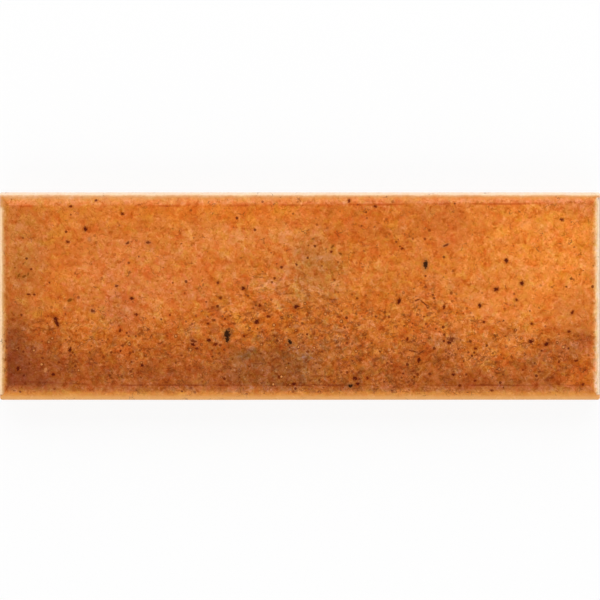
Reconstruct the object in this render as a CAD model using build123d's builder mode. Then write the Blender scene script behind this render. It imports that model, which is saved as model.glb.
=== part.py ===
from build123d import *
import os

# A glazed brick slip: a thin facing brick, pressed from clay in a die, glazed and fired as one piece.
# It lies on its back with the glazed face up. X runs along its length, Y along the height that it has in
# a wall, and Z through its thickness. The origin is at the middle of the back. Sizes are in millimetres.

# Fired size
slip_length = 215.0
slip_height = 74.5
slip_thickness = 15.0
corner_radius = 1.0  # upright corners, seen from the front

# Cushioned edge: the face falls away over a shoulder to an arris, level all round
shoulder_drop = 2.6
long_shoulder_width = 5.2  # along the top and bottom of the face
end_shoulder_width = 3.8  # at its two ends
arris_radius = 0.8
back_edge_radius = 0.6

# Keyed back: blind grooves along the length, which the adhesive bed fills
key_width = 5.5
key_land = 3.0  # flat left between two grooves
key_depth = 1.2
key_draft = 25.0  # degrees that each flank leans, so that the die lets go
back_border = 4.5  # least flat left along the long edges
key_end_border = 8.0  # flat left at each end


def cushioned_section(plane, span, shoulder_width):
    """Upright section: flat back, straight sides, rounded arrises and a shoulder tangent to the face."""
    side = span / 2
    face_end = side - shoulder_width
    arris_level = slip_thickness - shoulder_drop
    with BuildSketch(plane) as section:
        with BuildLine():
            face = Line((-face_end, slip_thickness), (face_end, slip_thickness))
            right = TangentArc(face @ 1, (side, arris_level), tangent=face % 1)
            left = TangentArc(face @ 0, (-side, arris_level), tangent=-(face % 0))
            Polyline(right @ 1, (side, 0), (-side, 0), left @ 1)
        make_face()
        fillet(section.vertices().group_by(Axis.Y)[1], arris_radius)
    return section.sketch


with BuildPart() as brick_slip:
    # Section through the height, carried along the length
    extrude(
        cushioned_section(Plane.YZ, slip_height, long_shoulder_width),
        amount=slip_length / 2,
        both=True,
    )
    # Section through the length, carried along the height: the shoulders meet on a mitre at each corner
    extrude(
        cushioned_section(Plane.XZ, slip_length, end_shoulder_width),
        amount=slip_height / 2,
        both=True,
        mode=Mode.INTERSECT,
    )
    # Upright corners
    with BuildSketch() as outline:
        RectangleRounded(slip_length, slip_height, corner_radius)
    extrude(amount=slip_thickness, mode=Mode.INTERSECT)
    # Back edge
    back = brick_slip.faces().sort_by(Axis.Z)[0]
    fillet(back.outer_wire().edges(), back_edge_radius)
    # Key grooves, as many each side of the middle land as the height has room for
    key_pitch = key_width + key_land
    keys_each_side = int((slip_height / 2 - back_border + key_land / 2) // key_pitch)
    with BuildSketch() as keys:
        with GridLocations(0, key_pitch, 1, 2 * keys_each_side):
            SlotOverall(slip_length - 2 * key_end_border, key_width)
    extrude(amount=key_depth, taper=key_draft, mode=Mode.SUBTRACT)

brick_slip.part.label = "brick_slip"
os.makedirs("parts", exist_ok=True)
export_step(brick_slip.part, "parts/brick_slip.step")
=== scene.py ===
from math import pi, radians, tan

import bpy
import numpy as np
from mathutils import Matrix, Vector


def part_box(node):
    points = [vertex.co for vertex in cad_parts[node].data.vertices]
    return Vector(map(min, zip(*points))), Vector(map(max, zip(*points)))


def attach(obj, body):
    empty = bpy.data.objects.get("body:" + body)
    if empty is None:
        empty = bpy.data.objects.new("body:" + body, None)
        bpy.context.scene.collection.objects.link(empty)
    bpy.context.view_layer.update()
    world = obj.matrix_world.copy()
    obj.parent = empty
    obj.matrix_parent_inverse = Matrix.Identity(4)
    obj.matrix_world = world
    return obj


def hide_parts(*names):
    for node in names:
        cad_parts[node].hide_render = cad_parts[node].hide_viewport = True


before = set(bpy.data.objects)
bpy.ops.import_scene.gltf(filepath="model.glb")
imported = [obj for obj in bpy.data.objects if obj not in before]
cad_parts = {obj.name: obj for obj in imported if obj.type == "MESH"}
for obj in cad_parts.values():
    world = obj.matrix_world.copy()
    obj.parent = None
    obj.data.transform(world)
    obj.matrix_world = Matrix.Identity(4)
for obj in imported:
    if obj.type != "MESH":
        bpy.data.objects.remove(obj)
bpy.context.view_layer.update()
mm = 0.001
slipLow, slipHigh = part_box("brick_slip")
halfLength, halfHeight, thickness = slipHigh.x, slipHigh.y, slipHigh.z
print("frame loaded: a slip of", [round(size / mm, 2) for size in (slipHigh - slipLow)], "mm")


# A colour written 0 to 255 as the eye sees it, turned linear
def srgb(red, green, blue):
    part = np.array((red, green, blue)) / 255
    linear = np.where(part <= 0.04045, part / 12.92, ((part + 0.055) / 1.055) ** 2.4)
    return (*linear.tolist(), 1.0)


# Smooth noise from -1 to 1: random values on a cubic lattice, eased between its points by 3t² - 2t³
def latticeNoise(points, cell, seed):
    side = 64
    lattice = np.random.default_rng(seed).uniform(-1, 1, (side, side, side))
    scaled = points / cell
    base = np.floor(scaled).astype(int)
    part = scaled - base
    part = part * part * (3 - 2 * part)
    total = np.zeros(len(points))
    for corner in np.ndindex(2, 2, 2):
        weight = np.prod(np.where(np.array(corner) == 1, part, 1 - part), axis=1)
        total += weight * lattice[tuple(((base + corner) % side).T)]
    return total


# The slip's form in metres. Its outer sizes come from the frame.
slipForm = {
    "endShoulder": 3.8 * mm,       # how far the falling edge reaches in from each end
    "longShoulder": 5.2 * mm,      # and from the top and bottom edges
    "shoulderDrop": 2.6 * mm,      # from the face down to the side
    "arrisRadius": 0.8 * mm,
    "cornerRadius": 1.0 * mm,
    "backEdgeRadius": 0.6 * mm,
    "shoulderSteps": 14,
    "arrisSteps": 5,
    "sideSteps": 11,
    "backEdgeSteps": 3,
}

# The key grooves in the back
keyForm = {
    "eachSide": 4,
    "pitch": 8.5 * mm,
    "width": 5.5 * mm,
    "depth": 1.2 * mm,
    "flank": 1.2 * mm * tan(radians(25)),
    "lip": 0.2 * mm,               # softened edge beside each groove
    "endBorder": 8.0 * mm,
    "endColumns": 16,              # fine columns across each row of round ends
    "middleColumns": 236,
}

# How far the fired surface wanders inwards from the pressed form: (size of the waves, depth)
reliefForm = {
    "glaze": [(38 * mm, 0.10 * mm), (9 * mm, 0.03 * mm), (3.2 * mm, 0.012 * mm)],
    "clay": [(22 * mm, 0.06 * mm), (4 * mm, 0.03 * mm), (1.3 * mm, 0.03 * mm)],
    "nicks": (2.1 * mm, 0.22 * mm),
}


# The two arcs of an edge: a shoulder tangent to the face, of radius (w² + d²) / 2d, and an arris circle
# that touches it and the side. Gives the large radius, the drop of the arris circle's centre, and the turn
# where they meet.
def edgeArcs(width, form):
    fall, small = form["shoulderDrop"], form["arrisRadius"]
    large = (width ** 2 + fall ** 2) / (2 * fall)
    arrisDrop = large - np.sqrt((large - small) ** 2 - (width - small) ** 2)
    joinTurn = np.arcsin((width - small) / (large - small))
    return large, arrisDrop, joinTurn


# Inset from the side at each drop below the face, read off those two circles, and 0 on the flat side
def shoulderInset(drop, width, form):
    small = form["arrisRadius"]
    large, arrisDrop, joinTurn = edgeArcs(width, form)
    onShoulder = width - np.sqrt(np.maximum(large ** 2 - (large - drop) ** 2, 0))
    onArris = small - np.sqrt(np.maximum(small ** 2 - (arrisDrop - drop) ** 2, 0))
    joinDrop = large * (1 - np.cos(joinTurn))
    return np.where(drop < joinDrop, onShoulder, np.where(drop < arrisDrop, onArris, 0))


# Drops of the level rings round the slip, from the face to the back: even turns on the arcs, and even steps
# on the side
def ringDrops(form):
    small, back = form["arrisRadius"], form["backEdgeRadius"]
    large, arrisDrop, joinTurn = edgeArcs(form["longShoulder"], form)
    shoulder = large * (1 - np.cos(np.linspace(0, joinTurn, form["shoulderSteps"] + 1)))
    arris = arrisDrop - small * np.cos(np.linspace(joinTurn, pi / 2, form["arrisSteps"] + 1))
    side = np.linspace(arrisDrop, thickness - back, form["sideSteps"] + 1)
    backEdge = thickness - back * (1 - np.sin(np.linspace(0, pi / 2, form["backEdgeSteps"] + 1)))
    return np.concatenate([shoulder, arris[1:], side[1:], backEdge[1:]])


# Once round the border of a grid [row, column], counterclockwise from its first corner
def borderOf(grid):
    return np.concatenate([grid[0, :-1], grid[:-1, -1], grid[-1, :0:-1], grid[:0:-1, 0]])


# Rounded rectangles through unit border points: the last radius of each side bends round half of the
# corner's quarter circle, so that the turn there is 45 degrees times (1 - distance from corner / radius)
def roundedRings(unit, halfX, halfY, radius):
    x, y = unit[..., 0] * halfX, unit[..., 1] * halfY
    fromEnd, fromLong = halfX - abs(x), halfY - abs(y)
    onLong = fromLong < fromEnd
    turn = pi / 4 * np.clip(1 - np.maximum(fromEnd, fromLong) / radius, 0, 1)
    across = np.where(onLong, np.sin(turn), np.cos(turn))
    up = np.where(onLong, np.cos(turn), np.sin(turn))
    bent = turn > 0
    x = np.where(bent, np.sign(x) * (halfX - radius * (1 - across)), x)
    y = np.where(bent, np.sign(y) * (halfY - radius * (1 - up)), y)
    return x, y


# Rows across the back: those of each groove's profile, one on each land and three on each border, mirrored
def keyRows(keys, edge):
    half, flank = keys["width"] / 2, keys["flank"]
    outerHalf = [half + keys["lip"], half, half - flank / 2, half - flank]
    profile = np.array([*outerHalf, half - 2 * flank, half / 3])
    profile = np.concatenate([-profile, [0], profile[::-1]])
    centres = (np.arange(keys["eachSide"]) + 0.5) * keys["pitch"]
    lands = np.arange(keys["eachSide"]) * keys["pitch"]
    inner = np.concatenate([(centres[:, None] + profile).ravel(), lands])
    border = np.linspace(inner.max(), edge, 5)[1:]
    upper = np.unique(np.round(np.concatenate([inner, border]), 9))
    return np.concatenate([-upper[:0:-1], upper])


# Columns along the back: close together where the grooves' round ends are, wide apart between them
def keyColumns(keys, edge):
    tip = halfLength - keys["endBorder"]
    inner = tip - keys["width"] / 2 - keys["lip"]
    outer = tip + 2 * keys["lip"]
    middle = np.linspace(-inner, inner, keys["middleColumns"] + 1)
    fine = np.linspace(inner, outer, keys["endColumns"] + 1)[1:]
    ends = np.concatenate([fine, np.linspace(outer, edge, 7)[1:]])
    return np.concatenate([-ends[::-1], middle, ends])


# Depth of the grooves: distance inside a stadium outline over the flank's slope, eased at lip and floor
def keyDepth(x, y, keys):
    centre = (np.floor(y / keys["pitch"]) + 0.5) * keys["pitch"]
    outermost = (keys["eachSide"] - 0.5) * keys["pitch"]
    centre = np.clip(centre, -outermost, outermost)
    half = keys["width"] / 2
    straight = halfLength - keys["endBorder"] - half
    beyond = np.maximum(abs(x) - straight, 0)
    inside = (half - np.hypot(beyond, y - centre)) / keys["flank"]
    eased = np.clip(inside, 0, 1)
    return keys["depth"] * (0.8 * eased + 0.2 * eased * eased * (3 - 2 * eased))


# The whole slip as one closed skin: a grid for the face, level rings down its shoulders and sides, and a
# grid for the keyed back, sharing their border points. Then every point moves inwards by the relief.
def makeSlip(name, form, keys, relief):
    backX, backY = halfLength - form["backEdgeRadius"], halfHeight - form["backEdgeRadius"]
    backColumns, backRows = keyColumns(keys, backX), keyRows(keys, backY)
    columns, rows = len(backColumns), len(backRows)
    faceX = np.linspace(-1, 1, columns) * (halfLength - form["endShoulder"])
    faceY = np.linspace(-1, 1, rows) * (halfHeight - form["longShoulder"])

    drops = ringDrops(form)
    back = form["backEdgeRadius"]
    backInset = back - np.sqrt(back ** 2 - np.maximum(drops - (thickness - back), 0) ** 2)
    halfX = halfLength - shoulderInset(drops, form["endShoulder"], form) - backInset
    halfY = halfHeight - shoulderInset(drops, form["longShoulder"], form) - backInset
    rounding = np.sqrt(np.clip(drops / form["shoulderDrop"], 0.01, 1))
    radius = form["cornerRadius"] * rounding - 0.7 * backInset

    faceUnit = np.stack(np.meshgrid(np.linspace(-1, 1, columns), np.linspace(-1, 1, rows)), axis=-1)
    backUnit = np.stack(np.meshgrid(backColumns / backX, backRows / backY), axis=-1)
    fallen = (drops - form["shoulderDrop"]) / (thickness - 2 * form["shoulderDrop"])
    drift = np.clip(fallen, 0, 1)[:, None, None]
    unit = (1 - drift) * borderOf(faceUnit) + drift * borderOf(backUnit)
    ringX, ringY = roundedRings(unit, halfX[:, None], halfY[:, None], radius[:, None])
    ringZ = np.broadcast_to((thickness - drops)[:, None], ringX.shape)

    faceGrid = np.arange(columns * rows).reshape(rows, columns)
    ringGrid = np.arange(ringX[1:-1].size).reshape(ringX[1:-1].shape) + faceGrid.size
    backGrid = faceGrid + faceGrid.size + ringGrid.size
    gridX, gridY = np.meshgrid(faceX, faceY)
    underX, underY = np.meshgrid(backColumns, backRows)
    points = np.concatenate([
        np.stack([gridX, gridY, np.full_like(gridX, thickness)], axis=-1).reshape(-1, 3),
        np.stack([ringX[1:-1], ringY[1:-1], ringZ[1:-1]], axis=-1).reshape(-1, 3),
        np.stack([underX, underY, keyDepth(underX, underY, keys)], axis=-1).reshape(-1, 3),
    ])
    points[borderOf(backGrid), :2] = np.stack([ringX[-1], ringY[-1]], axis=-1)

    rings = np.vstack([borderOf(faceGrid), ringGrid, borderOf(backGrid)])
    rings = np.hstack([rings, rings[:, :1]])
    quads = np.concatenate([
        quadsOf(faceGrid),
        quadsOf(rings)[:, ::-1],
        quadsOf(backGrid)[:, ::-1],
    ])
    mesh = bpy.data.meshes.new(name)
    mesh.from_pydata(points, [], quads)
    mesh.update()

    normals = np.empty(len(points) * 3, np.float32)
    mesh.vertices.foreach_get("normal", normals)
    points -= normals.reshape(-1, 3) * inwardRelief(points, relief)[:, None]
    points[:, 2] = np.clip(points[:, 2], 0, thickness)
    mesh.vertices.foreach_set("co", points.astype(np.float32).ravel())
    mesh.polygons.foreach_set("use_smooth", np.ones(len(quads), bool))
    mesh.update()
    return mesh


# Corner indices of a grid's cells, counterclockwise when columns run right and rows run up
def quadsOf(grid):
    return np.stack([grid[:-1, :-1], grid[:-1, 1:], grid[1:, 1:], grid[1:, :-1]], axis=-1).reshape(-1, 4)


# Relief: waves of noise, each from 0 to its depth, those of the glaze above the arris and of bare clay
# below, and small nicks along the arris where a fine noise peaks
def inwardRelief(points, relief):
    def waves(kinds, seed):
        return sum(
            depth * (0.5 + 0.5 * latticeNoise(points, cell, seed + n))
            for n, (cell, depth) in enumerate(kinds)
        )

    arrisLevel = thickness - slipForm["shoulderDrop"]
    glazed = np.clip((points[:, 2] - 0.6 * arrisLevel) / (0.4 * arrisLevel), 0, 1)
    cell, depth = relief["nicks"]
    peak = np.clip(latticeNoise(points, cell, 31) - 0.45, 0, 1) ** 2
    onArris = np.exp(-((points[:, 2] - arrisLevel) / (0.6 * mm)) ** 2)
    surface = glazed * waves(relief["glaze"], 11) + (1 - glazed) * waves(relief["clay"], 21)
    return surface + depth * peak * onArris


slipMesh = makeSlip("brickSlip", slipForm, keyForm, reliefForm)
brickSlip = bpy.data.objects.new("brickSlip", slipMesh)
bpy.context.collection.objects.link(brickSlip)
print("slip skin:", len(slipMesh.vertices), "points,", len(slipMesh.polygons), "quads")


# Broad tones of the glaze: its ground colour, and soft patches laid over it in turn.
# A patch is (colour, x, y, half length, half height, tilt in degrees, strength), in millimetres from the
# middle.
glazeTones = {
    "ground": srgb(218, 122, 47),
    "warp": (12.0, 2.6),           # size and reach of the noise that breaks the patches' edges
    "patches": {
        "honeyUpperRight": (srgb(240, 140, 56), 90, 13, 32, 24, 0, 0.9),
        "amberInner": (srgb(217, 124, 53), 68, 7, 15, 7, 10, 0.35),
        "rustEnd": (srgb(209, 112, 43), 100, -8, 13, 10, 0, 0.6),
        "rustLowerEnd": (srgb(185, 96, 39), 96, -20, 15, 8, 0, 0.6),
        "rustUpperCorner": (srgb(207, 116, 63), 98, 33, 9, 5, 0, 0.5),
        "orangeStripAbove": (srgb(231, 126, 42), -28, 30, 32, 4.5, 2, 0.65),
        "paleBand": (srgb(233, 143, 73), -16, 21, 26, 5, 3, 0.6),
        "oliveUpperLeft": (srgb(191, 118, 59), -99, 16, 9, 19, 0, 0.5),
        "rosyField": (srgb(223, 128, 67), -54, 5, 27, 13, -6, 0.65),
        "redAbove": (srgb(211, 106, 35), 20, 27, 15, 8, 0, 0.65),
        "redRight": (srgb(205, 102, 41), 54, 25, 10, 8, 0, 0.55),
        "oliveMiddle": (srgb(187, 124, 65), 5, 9, 9, 12, 0, 0.6),
        "paleRight": (srgb(233, 136, 65), 74, -6, 14, 10, 10, 0.5),
        "duskLower": (srgb(181, 92, 39), 0, -20.5, 118, 9, 0, 0.42),
        "brownBelow": (srgb(169, 88, 39), -40, -31, 68, 10, 1, 0.8),
        "brownBelowRight": (srgb(169, 88, 37), 70, -32, 48, 8, -1, 0.8),
        "oliveBelow": (srgb(157, 96, 47), -4, -27, 17, 11, 12, 0.6),
        "burntLowerLeft": (srgb(130, 58, 30), -107, -28, 22, 19, 0, 0.85),
        "burntLeftEnd": (srgb(151, 76, 37), -106, -12, 7, 14, 0, 0.5),
        "greyRight": (srgb(176, 108, 66), 52, -18, 8, 4.5, 5, 0.3),
        "lilacUnderMiddle": (srgb(173, 106, 61), -23, -26, 6, 6, 0, 0.45),
        "smokeUnderMiddle": (srgb(147, 100, 53), -18.5, -21.3, 4.5, 2.4, 0, 0.6),
        "greyStreak": (srgb(171, 112, 61), 5, -22, 13, 2.6, 6, 0.5),
        "lilacLowerRight": (srgb(179, 108, 65), 83, -21, 6, 4, 0, 0.45),
        "lilacEnd": (srgb(177, 102, 57), 102, -18, 5, 3.5, 0, 0.45),
        "emberLowerEnd": (srgb(213, 106, 31), 102, -29, 6, 7, 0, 0.7),
        "honeyMiddle": (srgb(223, 139, 76), -8, 6, 9, 8, 0, 0.55),
        "deepMiddle": (srgb(204, 104, 34), -30, 3, 5, 5, 0, 0.4),
        "duskLeft": (srgb(192, 102, 54), -64, -5, 6, 7, 0, 0.5),
        "paleUpperLeft": (srgb(222, 132, 66), -73, 19, 8, 7, 0, 0.45),
        "warmBelow": (srgb(212, 122, 54), 15, -16, 13, 14, 0, 0.6),
        "warmMiddleRight": (srgb(222, 124, 56), 44, -6, 10, 9, 0, 0.55),
        "warmLowerRight": (srgb(226, 132, 58), 71, -14, 17, 8, -10, 0.6),
        "oliveFan": (srgb(183, 116, 53), -99.5, 9, 4.5, 5.5, 0, 0.5),
    },
}

# How thickly the fine specks lie: the level everywhere, and patches of more or fewer, as above
speckleTones = {
    "ground": 0.11,
    "warp": (9.0, 4.0),
    "patches": {
        "lowerBand": (0.65, 0, -22, 108, 13, 0, 0.8),
        "middle": (0.90, 0, -10, 34, 18, 0, 0.85),
        "upperMiddle": (0.38, 20, 18, 26, 14, 20, 0.6),
        "middleRight": (0.75, 46, -10, 14, 16, 0, 0.7),
        "clearRight": (0.05, 78, 20, 26, 14, 0, 0.7),
        "clearLeft": (0.08, -62, 22, 30, 12, 0, 0.7),
        "thickBelow": (1.0, 4, -20, 18, 13, 0, 0.85),
        "thickBelowRight": (0.95, 28, -25, 26, 9, 0, 0.8),
        "lowerRight": (0.80, 78, -22, 32, 11, 0, 0.7),
        "lowerLeft": (0.75, -72, -17, 36, 14, 0, 0.7),
    },
}


# A value at each point: starting from the ground, each patch pulls it to its own value by strength times
# exp(-0.8 r³), where r is the noise-warped distance in half lengths
def layPatches(points, tones):
    cell, reach = tones["warp"]
    warp = np.stack([latticeNoise(points, cell * mm, seed) for seed in (41, 42)], axis=-1)
    fine = np.stack([latticeNoise(points, cell * mm / 3, seed) for seed in (43, 44)], axis=-1)
    flat = points[:, :2] / mm + reach * (warp + 0.5 * fine)
    values = np.tile(np.atleast_1d(tones["ground"]), (len(points), 1)).astype(float)
    for value, x, y, long, high, tilt, strength in tones["patches"].values():
        cosTilt, sinTilt = np.cos(radians(tilt)), np.sin(radians(tilt))
        across, up = flat[:, 0] - x, flat[:, 1] - y
        alongPart = (across * cosTilt + up * sinTilt) / long
        upPart = (up * cosTilt - across * sinTilt) / high
        distance = np.hypot(alongPart, upPart)
        pull = strength * np.exp(-0.8 * distance ** 3)[:, None]
        values += pull * (np.atleast_1d(value) - values)
    return values.astype(np.float32)


slipPoints = np.empty(len(slipMesh.vertices) * 3, np.float32)
slipMesh.vertices.foreach_get("co", slipPoints)
slipPoints = slipPoints.reshape(-1, 3).astype(float)
toneLayer = slipMesh.attributes.new("glazeTone", "FLOAT_COLOR", "POINT")
toneLayer.data.foreach_set("color", layPatches(slipPoints, glazeTones).ravel())
speckleLayer = slipMesh.attributes.new("speckle", "FLOAT", "POINT")
speckleLayer.data.foreach_set("value", layPatches(slipPoints, speckleTones).ravel())
print("glaze tones laid:", len(glazeTones["patches"]), "patches")


# The larger iron spots in the glaze: each kind's colour and that of its halo, and its spots as
# (x, y, length, width, tilt in degrees), in millimetres from the middle of the face
ironSpots = {
    "black": (srgb(36, 12, 0), srgb(150, 92, 46), [
        (-26.0, -13.7, 2.6, 2.0, 90), (-25.9, -15.4, 2.0, 1.3, 90), (44.8, 11.2, 2.5, 1.5, 90),
        (-3.6, -16.4, 1.8, 1.0, -55), (17.9, -32.1, 1.5, 1.1, 0),
    ]),
    "burnt": (srgb(86, 18, 0), srgb(150, 64, 6), [
        (-86.8, -9.6, 2.4, 1.2, -60), (-76.6, 23.9, 1.4, 1.1, 90), (73.6, 12.6, 1.3, 1.1, 90),
        (79.2, 4.5, 1.3, 1.2, 90), (70.0, 2.4, 1.5, 1.1, 20), (35.4, -1.8, 1.7, 1.1, 75),
        (-1.3, -3.8, 1.6, 1.1, 20), (-15.5, -9.2, 1.6, 1.3, 60), (53.4, -16.5, 1.6, 1.0, 20),
        (88.0, -17.1, 1.7, 1.0, 35), (19.6, -29.3, 1.5, 1.3, 0), (-87.2, -8.4, 1.6, 1.3, -70),
        (-100.7, -25.9, 1.5, 1.0, 80), (-88.1, -28.0, 1.2, 1.0, 0), (-56.4, -24.8, 1.1, 1.0, 0),
        (-38.4, -17.2, 1.5, 0.9, -30), (-60.0, -0.9, 1.2, 0.9, -20), (-2.2, -31.4, 1.7, 0.8, 10),
        (54.8, -28.0, 1.2, 0.8, 0), (-82.1, -19.2, 1.6, 0.9, 85), (-32.5, -15.8, 1.3, 1.0, 0),
        (-20.3, 2.7, 1.2, 1.0, 0), (20.6, -31.3, 1.1, 0.9, 0), (42.4, -22.9, 1.6, 0.9, 85),
        (82.3, -16.2, 1.4, 1.0, 0), (64.2, -3.4, 1.2, 1.0, 90),
    ]),
    "brown": (srgb(112, 34, 0), srgb(166, 78, 16), [
        (-82.9, 19.3, 1.1, 0.9, 0), (-81.8, 32.0, 1.1, 0.7, 10), (-72.8, 34.1, 0.9, 0.7, 0),
        (-63.4, 29.3, 1.0, 0.8, 0), (26.8, 32.0, 1.1, 0.9, 0), (93.5, 27.3, 1.1, 0.9, 0),
        (-29.3, 4.7, 1.1, 0.8, 90), (-14.4, -3.4, 1.0, 0.9, 0), (-11.2, -7.2, 1.2, 0.9, 0),
        (-32.9, -9.9, 0.9, 0.8, 0), (38.3, -15.5, 1.2, 0.7, 80), (62.7, -18.7, 0.9, 0.8, 0),
        (98.5, -23.2, 1.2, 0.7, 10), (51.4, -4.0, 1.2, 0.8, 85), (77.3, -1.4, 1.1, 0.9, 0),
        (82.7, -9.9, 0.8, 0.7, 0), (65.6, -9.3, 1.0, 0.8, 0), (96.0, -12.7, 1.0, 0.8, 0),
        (97.2, -5.9, 1.3, 0.8, 60), (-96.0, 9.5, 0.8, 0.6, 20), (-96.9, 0.6, 1.1, 0.5, 0),
        (-94.9, 0.6, 0.8, 0.6, 0), (62.5, -30.2, 1.0, 0.8, 0), (68.5, -33.6, 1.0, 0.6, 0),
        (101.0, -31.6, 1.0, 0.8, 70), (36.5, 16.9, 0.9, 0.7, 0), (-58.5, -6.6, 1.2, 0.8, 0),
        (-30.2, -17.2, 1.5, 1.0, 20), (-64.2, -12.3, 1.1, 0.8, 70), (-19.9, -14.3, 0.9, 0.7, 0),
        (17.5, 33.9, 1.2, 0.8, 90), (24.1, -29.3, 1.1, 0.8, 90), (11.1, 15.8, 1.0, 0.8, 60),
        (-36.9, -18.8, 1.2, 0.8, 0),
    ]),
    "slate": (srgb(118, 48, 10), srgb(184, 110, 66), [
        (-54.2, 19.1, 1.5, 0.9, 0), (52.1, 18.1, 1.6, 0.7, 20), (-74.0, -5.3, 1.3, 1.0, 0),
        (54.0, -15.5, 2.2, 1.6, 0), (-38.1, -16.1, 2.0, 1.0, -20), (-61.6, 18.9, 1.2, 0.7, 40),
        (-65.5, 3.6, 1.0, 0.8, 0),
    ]),
    "olive": (srgb(134, 66, 6), srgb(178, 108, 38), [
        (-100.4, 7.2, 1.4, 0.6, 60), (-98.5, 7.0, 1.6, 0.7, 20), (-97.0, 7.8, 1.3, 0.5, 80),
        (11.6, 17.6, 1.5, 0.6, 50), (14.5, 15.0, 1.2, 0.6, -40), (-82.2, -1.5, 1.5, 0.9, 30),
    ]),
    "pale": (srgb(198, 122, 70), srgb(170, 94, 44), [
        (-90.8, -26.4, 1.5, 1.0, 60), (-1.4, -10.9, 1.5, 1.0, 0), (-8.8, -13.1, 1.2, 0.6, 0),
        (5.6, -15.0, 1.1, 0.8, 0), (14.1, -12.3, 2.4, 0.8, 0), (-75.2, 20.2, 1.2, 0.8, 90),
    ]),
    "cracks": (srgb(116, 46, 6), srgb(180, 98, 40), [
        (40.3, -19.7, 3.2, 0.4, -14), (43.1, -20.2, 2.2, 0.4, 30), (44.3, -2.6, 2.6, 0.4, -38),
        (42.0, -1.4, 1.8, 0.4, 20),
    ]),
}


# Each face of the mesh gets the place, form and colours of the spot nearest to it, so that the material can
# draw that spot sharply from the distance to its middle
def layNearestSpots(mesh, spots):
    places, forms, colours, halos = [], [], [], []
    for colour, haloColour, group in spots.values():
        for x, y, long, wide, tilt in group:
            places.append((x, y, 0))
            forms.append((long / 2, wide / 2, radians(tilt)))
            colours.append(colour)
            halos.append(haloColour)
    places, forms = np.array(places), np.array(forms)

    centres = np.empty(len(mesh.polygons) * 3, np.float32)
    mesh.polygons.foreach_get("center", centres)
    centres = centres.reshape(-1, 3)[:, :2] / mm
    nearest = np.empty(len(centres), int)
    for part in np.array_split(np.arange(len(centres)), 60):
        gap = np.linalg.norm(centres[part, None] - places[:, :2], axis=-1)
        nearest[part] = np.argmin(gap - forms[:, 0], axis=1)
    for name, kind, prop, values in (
        ("spotPlace", "FLOAT_VECTOR", "vector", places),
        ("spotForm", "FLOAT_VECTOR", "vector", forms),
        ("spotColour", "FLOAT_COLOR", "color", np.array(colours)),
        ("haloColour", "FLOAT_COLOR", "color", np.array(halos)),
    ):
        layer = mesh.attributes.new(name, kind, "FACE")
        layer.data.foreach_set(prop, values[nearest].astype(np.float32).ravel())
    return len(places)


print("iron spots laid:", layNearestSpots(slipMesh, ironSpots))


# Short hands for node trees. Each gives back a node or the socket that carries its result.
def addNode(tree, kind, inputs=None, **settings):
    node = tree.nodes.new(kind)
    for name, value in settings.items():
        setattr(node, name, value)
    for slot, value in (inputs or {}).items():
        if isinstance(value, bpy.types.NodeSocket):
            tree.links.new(value, node.inputs[slot])
        else:
            node.inputs[slot].default_value = value
    return node


def calc(tree, operation, *values):
    return addNode(tree, "ShaderNodeMath", dict(enumerate(values)), operation=operation).outputs[0]


def vectorCalc(tree, operation, *values):
    return addNode(tree, "ShaderNodeVectorMath", dict(enumerate(values)), operation=operation).outputs[0]


def ease(tree, value, low, high, start=0.0, end=1.0):
    inputs = {"Value": value, "From Min": low, "From Max": high, "To Min": start, "To Max": end}
    return addNode(tree, "ShaderNodeMapRange", inputs, interpolation_type="SMOOTHSTEP").outputs[0]


def mixColour(tree, amount, first, second):
    inputs = {0: amount, 6: first, 7: second}
    return addNode(tree, "ShaderNodeMix", inputs, data_type="RGBA").outputs[2]


def mixValue(tree, amount, first, second):
    return addNode(tree, "ShaderNodeMix", {0: amount, 2: first, 3: second}).outputs[0]


def grain(tree, place, size, detail=2.0, roughness=0.5, distortion=0.0):
    inputs = {"Vector": place, "Scale": 1 / size, "Detail": detail}
    inputs |= {"Roughness": roughness, "Distortion": distortion}
    return addNode(tree, "ShaderNodeTexNoise", inputs).outputs[0]


# Patterns are turned out of line with the slip, so that their lattice doesn't show on its flat faces
def turned(tree, place):
    return addNode(tree, "ShaderNodeMapping", {"Vector": place, "Rotation": (0.62, 0.35, 0.81)}).outputs[0]


def attribute(tree, name, output="Vector"):
    return addNode(tree, "ShaderNodeAttribute", attribute_name=name).outputs[output]


# Stops are (distance, colour, strength); the ramp's alpha carries the strength
def rampOf(tree, value, stops, reach):
    node = addNode(tree, "ShaderNodeValToRGB", {0: calc(tree, "DIVIDE", value, reach)})
    elements = node.color_ramp.elements
    while len(elements) < len(stops):
        elements.new(1.0)
    for element, (distance, colour, strength) in zip(elements, stops):
        element.position = distance / reach
        element.color = (*colour[:3], strength)
    return node.outputs["Color"], node.outputs["Alpha"]


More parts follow.
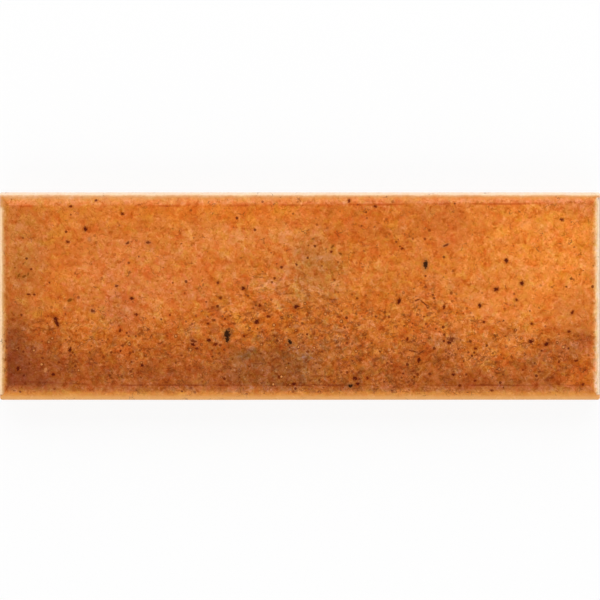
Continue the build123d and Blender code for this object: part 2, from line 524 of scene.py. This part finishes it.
# Where the glaze runs thin over the edges, with light painted on them: the cream lines along the top, left
# and right arrises and the lighter top shoulder are thin glaze with a painted highlight of the softboxes,
# the darker inner part of the bottom shoulder is painted shade, and the thin dark line at the right end's
# outer edge is a painted shadow. Stops of (distance inwards from the outline in millimetres, colour,
# strength)
edgeGlazeAndPaintedLight = {
    "reach": 8.0,
    "waver": (5.0, 0.40),          # size and reach of the wandering of these bands
    "fineWaver": (0.9, 0.20),
    "cornerHold": (2.4, 1.6),      # at the corners the top and bottom bands keep this much to the very end
    "topLean": 0.6,                # the top band is this much wider at the left, and narrower at the right
    "creaseBend": (-60, -102, 1.2),  # the bottom crease climbs this much between two places, going left
    "leftCorner": (5.0, 6.4, srgb(216, 140, 62)),
    # creases where the shoulders leave the face: (distance, half width, colour, strength, noise levels of
    # the breaks). The bottom one is a painted shade line where the bottom shoulder turns away from the light
    "topCrease": (4.8, 0.34, srgb(190, 76, 14), 0.6, (0.42, 0.62)),
    "bottomCreaseShade": (5.4, 0.28, srgb(138, 50, 12), 0.65, (0.36, 0.60)),
    # top: a cream line at the arris, thin glaze with a painted highlight, then a shoulder band lightened as
    # painted light
    "top": [
        (0.0, srgb(236, 220, 204), 1.0), (0.6, srgb(240, 208, 180), 1.0), (0.95, srgb(250, 216, 178), 1.0),
        (1.3, srgb(233, 182, 134), 1.0), (1.7, srgb(220, 155, 96), 0.95), (2.3, srgb(230, 147, 72), 0.85),
        (3.2, srgb(240, 146, 74), 0.8), (4.1, srgb(236, 140, 78), 0.75), (4.7, srgb(226, 124, 60), 0.35),
        (5.4, srgb(222, 118, 48), 0.0),
    ],
    # bottom: pale ochre where the glaze runs thin at the arris, then darker inwards as painted shade
    "bottom": [
        (0.0, srgb(218, 158, 88), 1.0), (0.6, srgb(227, 160, 86), 1.0), (1.2, srgb(231, 158, 80), 1.0),
        (1.9, srgb(226, 144, 60), 1.0), (2.6, srgb(224, 137, 48), 0.95), (3.2, srgb(211, 125, 50), 0.9),
        (4.0, srgb(196, 116, 58), 0.75), (4.8, srgb(195, 110, 58), 0.6), (5.9, srgb(170, 90, 42), 0.0),
    ],
    # left: a cream line at the arris, thin glaze with a painted highlight
    "left": [
        (0.0, srgb(246, 199, 148), 1.0), (0.78, srgb(254, 210, 162), 1.0),
        (1.12, srgb(228, 175, 118), 0.95), (1.55, srgb(222, 160, 97), 0.9), (2.05, srgb(215, 141, 70), 0.85),
        (2.6, srgb(197, 112, 42), 0.6), (3.4, srgb(186, 98, 40), 0.0),
    ],
    # right: a thin painted shadow at the outer edge, then a cream line, thin glaze with a painted highlight
    "right": [
        (0.0, srgb(186, 154, 124), 1.0), (0.55, srgb(220, 188, 154), 1.0), (1.0, srgb(250, 222, 184), 1.0),
        (1.3, srgb(232, 194, 150), 1.0), (1.7, srgb(250, 200, 144), 0.95), (2.4, srgb(232, 160, 90), 0.88),
        (3.1, srgb(220, 130, 56), 0.65), (3.7, srgb(212, 115, 46), 0.35), (4.3, srgb(204, 108, 44), 0.0),
    ],
}

# What lies in the glaze, in millimetres
glazeLook = {
    # veils: (factor on the tone, size, detail, noise levels where each begins and is full, noise shift)
    "veils": [
        ((1.02, 1.10, 1.55), 5.0, 3, 0.47, 0.66, 0),
        ((1.03, 1.12, 0.92), 4.2, 2, 0.48, 0.68, 40),
        ((0.95, 0.79, 0.60), 6.5, 3, 0.48, 0.66, 80),
        ((0.97, 0.80, 0.70), 2.8, 1, 0.47, 0.70, 240),
        ((0.95, 1.06, 0.86), 3.2, 1, 0.47, 0.70, 280),
        ((1.12, 1.26, 1.60), 2.4, 2, 0.52, 0.66, 120),
        ((0.78, 0.63, 0.36), 1.9, 2, 0.54, 0.68, 160),
    ],
    # sand: the same, its strength growing with the density of the specks from its first to its second value
    "sand": [
        ((1.12, 1.24, 1.75), 1.15, 2, 0.50, 0.65, 0),
        ((0.83, 0.69, 0.32), 1.15, 2, 0.50, 0.35, 20),
    ],
    "sandStrength": (0.65, 1.15),
    # blotches: (size, stretch along the slip, factor of the lighter ones, factor of the darker ones)
    "blotches": [
        (1.5, 1.3, (1.06, 1.10, 1.24), (0.89, 0.80, 0.58)),
        (3.0, 1.7, (1.05, 1.08, 1.16), (0.91, 0.85, 0.76)),
    ],
    "blotchStrength": (0.6, 1.2),
    "smoke": ((0.76, 0.90, 1.25), 3.2, 4, 0.50, 0.62, 200),
    # specks: (cell, smallest and largest radius, share of the cells at full density, strength)
    "specks": (1.5, 0.18, 0.58, 0.90, 0.90),
    "speckColours": (srgb(144, 54, 0), srgb(94, 24, 0)),
    # pinpricks: (cell, smallest and largest radius, share of the cells); the pale middle of each is a painted
    # glint, round it a dark ring
    "pinpricks": (1.9, 0.20, 0.48, 0.42),
    "pinprickGlintAndRingColours": (srgb(230, 150, 82), srgb(112, 46, 8)),
    # hairlines: (cell, half width, colour, strength, share of the density, noise levels where they begin
    # and are full)
    "hairlines": [
        (5.2, 0.11, srgb(104, 48, 18), 0.65, 0.12, 0.56, 0.66),
        (1.6, 0.20, srgb(128, 58, 12), 0.50, 0.30, 0.72, 0.84),
    ],
    # streaks: (size, squash along them, their slant in degrees, colour, strength)
    "streak": (1.0, 0.25, 11.0, srgb(120, 44, 8), 0.55),
}

# The bare body below the glaze and on the back
clayLook = {
    "body": srgb(217, 176, 138),
    "shade": srgb(190, 143, 105),
    "speck": srgb(112, 58, 34),
    "grit": srgb(240, 216, 188),
    "bloom": srgb(206, 138, 94),
    "drag": srgb(170, 118, 82),
    # layers: (colour, size, detail, roughness, noise levels where it begins and is full, strength)
    "layers": [
        ("shade", 9.0, 4, 0.5, 0.45, 0.70, 0.60),
        ("shade", 0.7, 3, 0.7, 0.45, 0.70, 0.60),
        ("bloom", 17.0, 2, 0.5, 0.50, 0.70, 0.45),
    ],
    "dragMarks": (0.55, 3, 0.6, 0.55, 0.72, 0.45),    # the same, drawn out level with the back
    # grains: (colour, cell, smallest and largest radius, share of the cells)
    "grains": [("grit", 1.7, 0.15, 0.45, 0.5), ("speck", 1.9, 0.12, 0.42, 0.6)],
    "runLevel": (9.4, 1.1),        # height above the back where the glaze stops, and how far it wanders
    "runEdge": srgb(178, 112, 66),
    "sideGlaze": srgb(214, 138, 72),
    "sideGlazePale": srgb(232, 178, 122),
}

# Height finer than the mesh, in millimetres, as (size, detail, roughness of the noise, height), and the
# smoothest and roughest glaze
finishLook = {
    "glazeStep": 0.16,             # the glaze's own thickness where it stops
    "peel": [(1.6, 2, 0.5, 0.018), (0.5, 3, 0.6, 0.010)],
    "spotPit": 0.02,
    "sandy": (0.6, 5, 0.7, 0.16),
    "glazeRoughness": (0.16, 0.28),
    "clayRoughness": 0.88,
    "ior": 1.5,
}


# The colour times a factor, as far as the noise has risen from its first level to its second
def veil(tree, colour, pattern, look, gate):
    factor, size, detail, low, high, shift = look
    level = grain(tree, vectorCalc(tree, "ADD", pattern, (shift, 0, 0)), size, detail, 0.6, 0.9)
    amount = calc(tree, "MULTIPLY", ease(tree, level, low, high), gate)
    return mixColour(tree, amount, colour, vectorCalc(tree, "MULTIPLY", colour, factor))


# Blotches: soft-edged random cells, each lighter or darker by its own draw
def blotched(tree, colour, place, look, gate):
    size, stretch, lightFactor, darkFactor = look
    swirl = addNode(tree, "ShaderNodeTexNoise", {"Vector": place, "Scale": 0.9 / size, "Detail": 2.0})
    bent = vectorCalc(tree, "MULTIPLY_ADD", swirl.outputs["Color"], (1.6 * size,) * 3, place)
    drawnOut = vectorCalc(tree, "MULTIPLY", bent, (1 / stretch, 1, 1))
    inputs = {"Vector": drawnOut, "Scale": 1 / size, "Smoothness": 0.3}
    cells = addNode(tree, "ShaderNodeTexVoronoi", inputs, voronoi_dimensions="2D", feature="SMOOTH_F1")
    drawn = addNode(tree, "ShaderNodeSeparateXYZ", {0: cells.outputs["Color"]}).outputs
    for level, factor in ((drawn[0], lightFactor), (drawn[1], darkFactor)):
        amount = calc(tree, "MULTIPLY", ease(tree, level, 0.50, 0.80), gate)
        colour = mixColour(tree, amount, colour, vectorCalc(tree, "MULTIPLY", colour, factor))
    return colour


# Round specks: the distance to the middle of each random cell, less a radius drawn for that cell, where the
# cell's own random share is under the density
def scattered(tree, place, density, cell, small, large, share):
    inputs = {"Vector": place, "Scale": 1 / cell}
    cells = addNode(tree, "ShaderNodeTexVoronoi", inputs, voronoi_dimensions="3D").outputs
    drawn = addNode(tree, "ShaderNodeSeparateXYZ", {0: cells["Color"]}).outputs
    radius = ease(tree, drawn[1], 0.3, 1.0, small, large)
    kept = calc(tree, "LESS_THAN", drawn[0], calc(tree, "MULTIPLY", density, share))
    wobble = calc(tree, "MULTIPLY_ADD", grain(tree, place, 0.35, 1), 0.3, -0.15)
    gap = calc(tree, "SUBTRACT", calc(tree, "MULTIPLY_ADD", cells["Distance"], cell, wobble), radius)
    return gap, kept, drawn[2]


# Fine specks, pinpricks whose pale middle is a painted glint in a dark ring, hairlines and streaks drawn out
# along the slip
def specked(tree, colour, place, pattern, density, look):
    cell, small, large, share, strength = look["specks"]
    gap, kept, drawn = scattered(tree, pattern, density, cell, small, large, share)
    clear = calc(tree, "MULTIPLY_ADD", drawn, strength - 0.25, 0.25)
    speck = calc(tree, "MULTIPLY", calc(tree, "MULTIPLY", ease(tree, gap, 0.08, -0.10), kept), clear)
    colour = mixColour(tree, speck, colour, mixColour(tree, drawn, *look["speckColours"]))

    # Pinpricks: a dark ring round a pale middle, the middle being a painted glint
    cell, small, large, share = look["pinpricks"]
    thick = ease(tree, density, 0.35, 0.8)
    shifted = vectorCalc(tree, "ADD", pattern, (0, 60, 0))
    gap, kept, drawn = scattered(tree, shifted, thick, cell, small, large, share)
    pale, ring = look["pinprickGlintAndRingColours"]
    clear = calc(tree, "MULTIPLY", kept, ease(tree, drawn, 0.0, 1.0, 0.35, 0.9))
    colour = mixColour(tree, calc(tree, "MULTIPLY", ease(tree, gap, 0.32, 0.08), clear), colour, ring)
    middle = calc(tree, "MULTIPLY", ease(tree, gap, 0.04, -0.14), clear)
    colour = mixColour(tree, middle, colour, pale)

    inputs = {"Vector": pattern, "Scale": 0.45, "Detail": 3.0}
    swirl = addNode(tree, "ShaderNodeTexNoise", inputs).outputs["Color"]
    warped = vectorCalc(tree, "MULTIPLY_ADD", swirl, (3.5, 3.5, 3.5), pattern)
    patchy = grain(tree, pattern, 4.0, 2)
    for cell, width, dark, strength, share, low, high in look["hairlines"]:
        inputs = {"Vector": warped, "Scale": 1 / cell}
        cells = addNode(tree, "ShaderNodeTexVoronoi", inputs, feature="DISTANCE_TO_EDGE")
        line = ease(tree, calc(tree, "MULTIPLY", cells.outputs[0], cell), width, 0.3 * width)
        kept = ease(tree, calc(tree, "MULTIPLY_ADD", density, share, patchy), low, high, 0, strength)
        colour = mixColour(tree, calc(tree, "MULTIPLY", line, kept), colour, dark)

    size, squash, slant, dark, strength = look["streak"]
    bent = vectorCalc(tree, "MULTIPLY_ADD", swirl, (0, 3.0, 0), place)
    inputs = {"Vector": bent, "Rotation": (0, 0, radians(slant)), "Scale": (1 / squash, 1, 1)}
    drawnOut = addNode(tree, "ShaderNodeMapping", inputs, vector_type="TEXTURE").outputs[0]
    level = ease(tree, grain(tree, turned(tree, drawnOut), size, 3, 0.6), 0.55, 0.68, 0, strength)
    return mixColour(tree, calc(tree, "MULTIPLY", level, ease(tree, density, 0.25, 0.6)), colour, dark)


# Iron spots: 1 inside and 0 outside, from the distance to the nearest spot's middle in its own half
# lengths, roughened by noise; then a wider faint halo
def ironSpotMasks(tree, place):
    offset = vectorCalc(tree, "SUBTRACT", place, attribute(tree, "spotPlace"))
    form = addNode(tree, "ShaderNodeSeparateXYZ", {0: attribute(tree, "spotForm")}).outputs
    turn = calc(tree, "MULTIPLY", form[2], -1.0)
    inputs = {"Vector": offset, "Angle": turn}
    spun = addNode(tree, "ShaderNodeVectorRotate", inputs, rotation_type="Z_AXIS").outputs[0]
    along = addNode(tree, "ShaderNodeSeparateXYZ", {0: spun}).outputs
    alongPart = calc(tree, "DIVIDE", along[0], form[0])
    acrossPart = calc(tree, "DIVIDE", along[1], form[1])
    acrossSquare = calc(tree, "MULTIPLY", acrossPart, acrossPart)
    squares = calc(tree, "MULTIPLY_ADD", alongPart, alongPart, acrossSquare)
    rough = calc(tree, "MULTIPLY_ADD", grain(tree, place, 0.5, 2), 2.4, -1.2)
    distance = calc(tree, "ADD", calc(tree, "SQRT", squares), rough)
    level = addNode(tree, "ShaderNodeSeparateXYZ", {0: place}).outputs[2]
    onTop = ease(tree, level, 12.0, 12.6)
    spot = calc(tree, "MULTIPLY", ease(tree, distance, 1.40, 0.80), onTop)
    halo = calc(tree, "MULTIPLY", ease(tree, distance, 2.6, 1.2), onTop)
    return spot, halo


# Edge bands of thin glaze with painted highlights and painted shade: distance inwards from each side,
# wandering a little. The shoulder that is nearer in its own widths rules, so that the bands meet on a mitre
# at the corners. Gives the colour and how far inland each point is.
def edgeGlazeAndPaintedLightBands(tree, colour, place, pattern, look):
    x, y, z = addNode(tree, "ShaderNodeSeparateXYZ", {0: place}).outputs
    size, reach = look["waver"]
    fineSize, fineReach = look["fineWaver"]
    wide = calc(tree, "MULTIPLY_ADD", grain(tree, pattern, size, 2), 2 * reach, -reach)
    fine = calc(tree, "MULTIPLY_ADD", grain(tree, pattern, fineSize, 2), 2 * fineReach, -fineReach)
    waver = calc(tree, "ADD", wide, fine)
    fromTop = calc(tree, "SUBTRACT", halfHeight / mm, y)
    leaning = calc(tree, "MULTIPLY_ADD", x, look["topLean"] * mm / halfLength, fromTop)
    fromBottom = calc(tree, "ADD", y, halfHeight / mm)
    fromRight = calc(tree, "SUBTRACT", halfLength / mm, x)
    fromLeft = calc(tree, "ADD", x, halfLength / mm)
    fromLong = calc(tree, "MINIMUM", fromTop, fromBottom)
    longPart = calc(tree, "DIVIDE", fromLong, slipForm["longShoulder"] / mm)
    fromEnd = calc(tree, "MINIMUM", fromLeft, fromRight)
    endPart = calc(tree, "DIVIDE", fromEnd, slipForm["endShoulder"] / mm)
    mitred = ease(tree, calc(tree, "SUBTRACT", endPart, longPart), -0.04, 0.04)
    longRules = calc(tree, "MAXIMUM", mitred, ease(tree, fromLong, *look["cornerHold"]))
    endRules = calc(tree, "SUBTRACT", 1.0, longRules)
    topGap = mixValue(tree, ease(tree, fromTop, 1.2, 3.0), fromTop, leaning)
    for side, gap, rules in (("top", topGap, longRules), ("bottom", fromBottom, longRules),
                             ("left", fromLeft, endRules), ("right", fromRight, endRules)):
        near = ease(tree, gap, 0.0, 1.2, 0.15, 1.0)
        wandering = calc(tree, "MULTIPLY_ADD", waver, near, gap)
        # Each side's stops lay thin glaze with its painted highlight or painted shade
        edgeColour, strength = rampOf(tree, wandering, look[side], look["reach"])
        if side == "left":
            low, high, ochre = look["leftCorner"]
            edgeColour = mixColour(tree, ease(tree, fromTop, low, high), ochre, edgeColour)
        colour = mixColour(tree, calc(tree, "MULTIPLY", strength, rules), colour, edgeColour)
    drawnOut = vectorCalc(tree, "MULTIPLY", place, (0.12, 0.6, 1))
    climbStart, climbEnd, climb = look["creaseBend"]
    bent = calc(tree, "SUBTRACT", fromBottom, ease(tree, x, climbStart, climbEnd, 0, climb))
    # the bottom crease is a painted shade line
    for crease, gap in (("topCrease", topGap), ("bottomCreaseShade", bent)):
        middle, half, dark, strength, (low, high) = look[crease]
        wandering = calc(tree, "MULTIPLY_ADD", wide, 0.5, gap)
        away = calc(tree, "ABSOLUTE", calc(tree, "SUBTRACT", wandering, middle))
        broken = ease(tree, grain(tree, drawnOut, 1.4, 3), low, high, 0, strength)
        line = calc(tree, "MULTIPLY", ease(tree, away, half * 1.5, half * 0.5), broken)
        colour = mixColour(tree, calc(tree, "MULTIPLY", line, mitred), colour, dark)
    return colour, ease(tree, calc(tree, "MINIMUM", longPart, endPart), 0.15, 0.75, 0.12, 1.0)


# Bare clay: two scales of shade, a warm bloom, drag marks level with the back, pale grit and brown specks
def clayColour(tree, place, pattern, look):
    colour = look["body"]
    for tone, size, detail, roughness, low, high, strength in look["layers"]:
        amount = ease(tree, grain(tree, pattern, size, detail, roughness), low, high, 0, strength)
        colour = mixColour(tree, amount, colour, look[tone])
    drawnOut = turned(tree, vectorCalc(tree, "MULTIPLY", place, (0.06, 0.06, 1.0)))
    size, detail, roughness, low, high, strength = look["dragMarks"]
    amount = ease(tree, grain(tree, drawnOut, size, detail, roughness), low, high, 0, strength)
    colour = mixColour(tree, amount, colour, look["drag"])
    for name, cell, small, large, share in look["grains"]:
        shifted = vectorCalc(tree, "ADD", pattern, (0, 0, 90 * cell))
        gap, kept, drawn = scattered(tree, shifted, 1.0, cell, small, large, share)
        amount = calc(tree, "MULTIPLY", ease(tree, gap, 0.08, -0.08), kept)
        clear = calc(tree, "MULTIPLY", amount, ease(tree, drawn, 0, 1, 0.3, 0.85))
        colour = mixColour(tree, clear, colour, look[name])
    return colour


# Glaze over fired clay. The glaze runs down the sides to a wandering level, and below it the clay is bare.
def makeGlazedClay():
    material = bpy.data.materials.new("glazedClay")
    material.use_nodes = True
    tree = material.node_tree
    shader = tree.nodes["Principled BSDF"]
    metres = addNode(tree, "ShaderNodeTexCoord").outputs["Object"]
    place = vectorCalc(tree, "MULTIPLY", metres, (1 / mm,) * 3)
    pattern = turned(tree, place)
    z = addNode(tree, "ShaderNodeSeparateXYZ", {0: place}).outputs[2]
    density = attribute(tree, "speckle", "Fac")

    colour, inland = edgeGlazeAndPaintedLightBands(tree, attribute(tree, "glazeTone", "Color"), place, pattern, edgeGlazeAndPaintedLight)
    for one in glazeLook["veils"]:
        colour = veil(tree, colour, pattern, one, inland)
    sandGate = calc(tree, "MULTIPLY", ease(tree, density, 0.1, 0.7, *glazeLook["sandStrength"]), inland)
    blotchGate = calc(tree, "MULTIPLY", ease(tree, density, 0.1, 0.7, *glazeLook["blotchStrength"]), inland)
    for one in glazeLook["blotches"]:
        colour = blotched(tree, colour, place, one, blotchGate)
    for one in glazeLook["sand"]:
        colour = veil(tree, colour, pattern, one, sandGate)
    colour = veil(tree, colour, pattern, glazeLook["smoke"], calc(tree, "MULTIPLY", density, inland))
    speckGate = calc(tree, "MULTIPLY", density, ease(tree, inland, 0.25, 0.9))
    colour = specked(tree, colour, place, pattern, speckGate, glazeLook)
    spot, halo = ironSpotMasks(tree, place)
    for mask, strength, layer in ((halo, 0.5, "haloColour"), (spot, 0.95, "spotColour")):
        amount = calc(tree, "MULTIPLY", mask, strength)
        colour = mixColour(tree, amount, colour, attribute(tree, layer, "Color"))

    level, wander = clayLook["runLevel"]
    streaks = turned(tree, vectorCalc(tree, "MULTIPLY", place, (1, 1, 0.3)))
    drips = grain(tree, streaks, 14.0, 5, 0.55)
    runLevel = calc(tree, "MULTIPLY_ADD", drips, 4 * wander, level - 2 * wander)
    aboveRun = calc(tree, "SUBTRACT", z, runLevel)
    glazed = ease(tree, aboveRun, -0.25, 0.25)
    bare = calc(tree, "SUBTRACT", 1.0, glazed)
    arrisLevel = (thickness - slipForm["shoulderDrop"]) / mm
    onSide = ease(tree, z, arrisLevel - 0.1, arrisLevel - 1.2, 0, 0.85)
    sideTone = mixColour(tree, ease(tree, grain(tree, streaks, 2.6, 4, 0.65), 0.35, 0.65),
                         clayLook["sideGlaze"], clayLook["sideGlazePale"])
    colour = mixColour(tree, onSide, colour, sideTone)
    colour = mixColour(tree, ease(tree, aboveRun, 1.3, 0.1, 0, 0.5), colour, clayLook["runEdge"])
    clay = clayColour(tree, place, pattern, clayLook)
    clay = mixColour(tree, ease(tree, aboveRun, -0.9, -0.1, 0, 0.4), clay, clayLook["runEdge"])
    colour = mixColour(tree, glazed, clay, colour)

    # Height: orange peel and fine grain in the glaze with pits at the spots, sandy clay below it, and the
    # step of the glaze's own thickness
    peel = finishLook["glazeStep"]
    for size, detail, rough, rise in finishLook["peel"]:
        peel = calc(tree, "MULTIPLY_ADD", grain(tree, pattern, size, detail, rough), rise, peel)
    peel = calc(tree, "MULTIPLY_ADD", spot, -finishLook["spotPit"], peel)
    size, detail, rough, rise = finishLook["sandy"]
    sandy = calc(tree, "MULTIPLY", grain(tree, pattern, size, detail, rough), rise)
    height = calc(tree, "MULTIPLY_ADD", glazed, peel, calc(tree, "MULTIPLY", bare, sandy))
    bump = addNode(tree, "ShaderNodeBump", {"Height": height, "Distance": mm, "Strength": 1.0})

    gloss = ease(tree, grain(tree, pattern, 2.2, 3), 0.3, 0.7, *finishLook["glazeRoughness"])
    matt = calc(tree, "MULTIPLY", bare, finishLook["clayRoughness"])
    roughness = calc(tree, "MULTIPLY_ADD", glazed, gloss, matt)
    tree.links.new(colour, shader.inputs["Base Color"])
    tree.links.new(roughness, shader.inputs["Roughness"])
    tree.links.new(bump.outputs[0], shader.inputs["Normal"])
    shader.inputs["IOR"].default_value = finishLook["ior"]
    return material


slipMesh.materials.append(makeGlazedClay())
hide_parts("brick_slip")
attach(brickSlip, "root")
print("glazed clay mixed")


# Plain pale floor, white to the camera and to reflections but still taking the slip's shadow
stageLook = {
    "floorHalf": 6.0,
    "floor": (0.92, 0.92, 0.92, 1.0),
    "whiteShare": 0.88,
    "horizon": 1.0,                # the sky's level where the camera can see it from the side
    "lowSky": 0.36,                # above that, and the share of it that is left overhead
    "zenithShare": 0.22,
    "lowRise": (0.09, 0.22),       # heights of the ray between which the sky turns grey, and then greyer
    "highRise": (0.22, 0.60),
}


# 1 for camera, glossy and transmission rays
def seenDirectly(tree):
    path = addNode(tree, "ShaderNodeLightPath").outputs
    seen = calc(tree, "MAXIMUM", path["Is Camera Ray"], path["Is Glossy Ray"])
    return calc(tree, "MAXIMUM", seen, path["Is Transmission Ray"])


def makeFloor(look):
    half = look["floorHalf"]
    corners = np.array([(-half, -half, 0), (half, -half, 0), (half, half, 0), (-half, half, 0)])
    mesh = bpy.data.meshes.new("paleFloor")
    mesh.from_pydata(corners, [], [(0, 1, 2, 3)])
    floor = bpy.data.objects.new("paleFloor", mesh)
    bpy.context.collection.objects.link(floor)
    material = bpy.data.materials.new("paleFloor")
    material.use_nodes = True
    tree = material.node_tree
    tree.nodes.clear()
    diffuse = addNode(tree, "ShaderNodeBsdfDiffuse", {"Color": look["floor"]})
    white = addNode(tree, "ShaderNodeEmission", {"Color": (1, 1, 1, 1), "Strength": 1.0})
    share = calc(tree, "MULTIPLY", seenDirectly(tree), look["whiteShare"])
    mix = addNode(tree, "ShaderNodeMixShader", {0: share, 1: diffuse.outputs[0], 2: white.outputs[0]})
    addNode(tree, "ShaderNodeOutputMaterial", {0: mix.outputs[0]})
    mesh.materials.append(material)
    return floor


makeFloor(stageLook)


# The sky: white at the horizon, and greyer in two steps above it, so that the glaze keeps its colour at
# every angle
def makeSky(look):
    world = bpy.data.worlds.new("studioSky")
    world.use_nodes = True
    tree = world.node_tree
    background = tree.nodes["Background"]
    direction = addNode(tree, "ShaderNodeTexCoord").outputs["Generated"]
    rise = addNode(tree, "ShaderNodeSeparateXYZ", {0: direction}).outputs[2]
    low = ease(tree, rise, *look["lowRise"], look["horizon"], look["lowSky"])
    high = ease(tree, rise, *look["highRise"], 1.0, look["zenithShare"])
    tree.links.new(calc(tree, "MULTIPLY", low, high), background.inputs["Strength"])
    background.inputs["Color"].default_value = (1, 1, 1, 1)
    bpy.context.scene.world = world


makeSky(stageLook)

# Softboxes round the slip: (place, width, height, power in watts), all turned to the middle of the slip.
# They leave no reflections, so that only the sky shows in the glaze and its colour stays full at every angle.
# Their highlights on the arrises are painted into the glaze's edge bands instead.
softboxes = {
    "boxAbove": ((0.0, 0.62, 0.50), 1.60, 0.70, 7.1),
    "boxBelow": ((0.0, -0.66, 0.46), 1.60, 0.60, 5.2),
    "boxLeft": ((-0.80, 0.05, 0.44), 0.90, 0.60, 1.8),
    "boxRight": ((0.80, 0.05, 0.44), 0.90, 0.60, 2.2),
}


def makeSoftbox(name, place, width, height, power):
    light = bpy.data.lights.new(name, "AREA")
    light.shape = "RECTANGLE"
    light.size, light.size_y = width, height
    light.energy = power
    lamp = bpy.data.objects.new(name, light)
    bpy.context.collection.objects.link(lamp)
    lamp.location = place
    lamp.visible_glossy = False
    lamp.rotation_euler = (-lamp.location).to_track_quat("-Z", "Y").to_euler()


for name, settings in softboxes.items():
    makeSoftbox(name, *settings)
print("floor, sky and", len(softboxes), "softboxes set")

# The camera looks straight down. The slip's length fills the picture's width, and the slip lies a little
# above the middle of the picture.
cameraLook = {
    "fill": 1.0015,
    "focal": 180.0,
    "sensor": 36.0,
    "pictureSide": 600,
    "slipRaisedPixels": 4,
}


def makeCamera(look):
    data = bpy.data.cameras.new("camera")
    data.lens, data.sensor_width = look["focal"], look["sensor"]
    camera = bpy.data.objects.new("camera", data)
    bpy.context.collection.objects.link(camera)
    distance = 2 * halfLength * look["focal"] / look["sensor"] / look["fill"]
    raised = look["slipRaisedPixels"] * 2 * halfLength / look["pictureSide"]
    arrisLevel = thickness - slipForm["shoulderDrop"]
    camera.location = (0, -raised, arrisLevel + distance)
    bpy.context.scene.camera = camera


makeCamera(cameraLook)
bpy.context.scene.view_settings.view_transform = "Standard"
print("camera set")
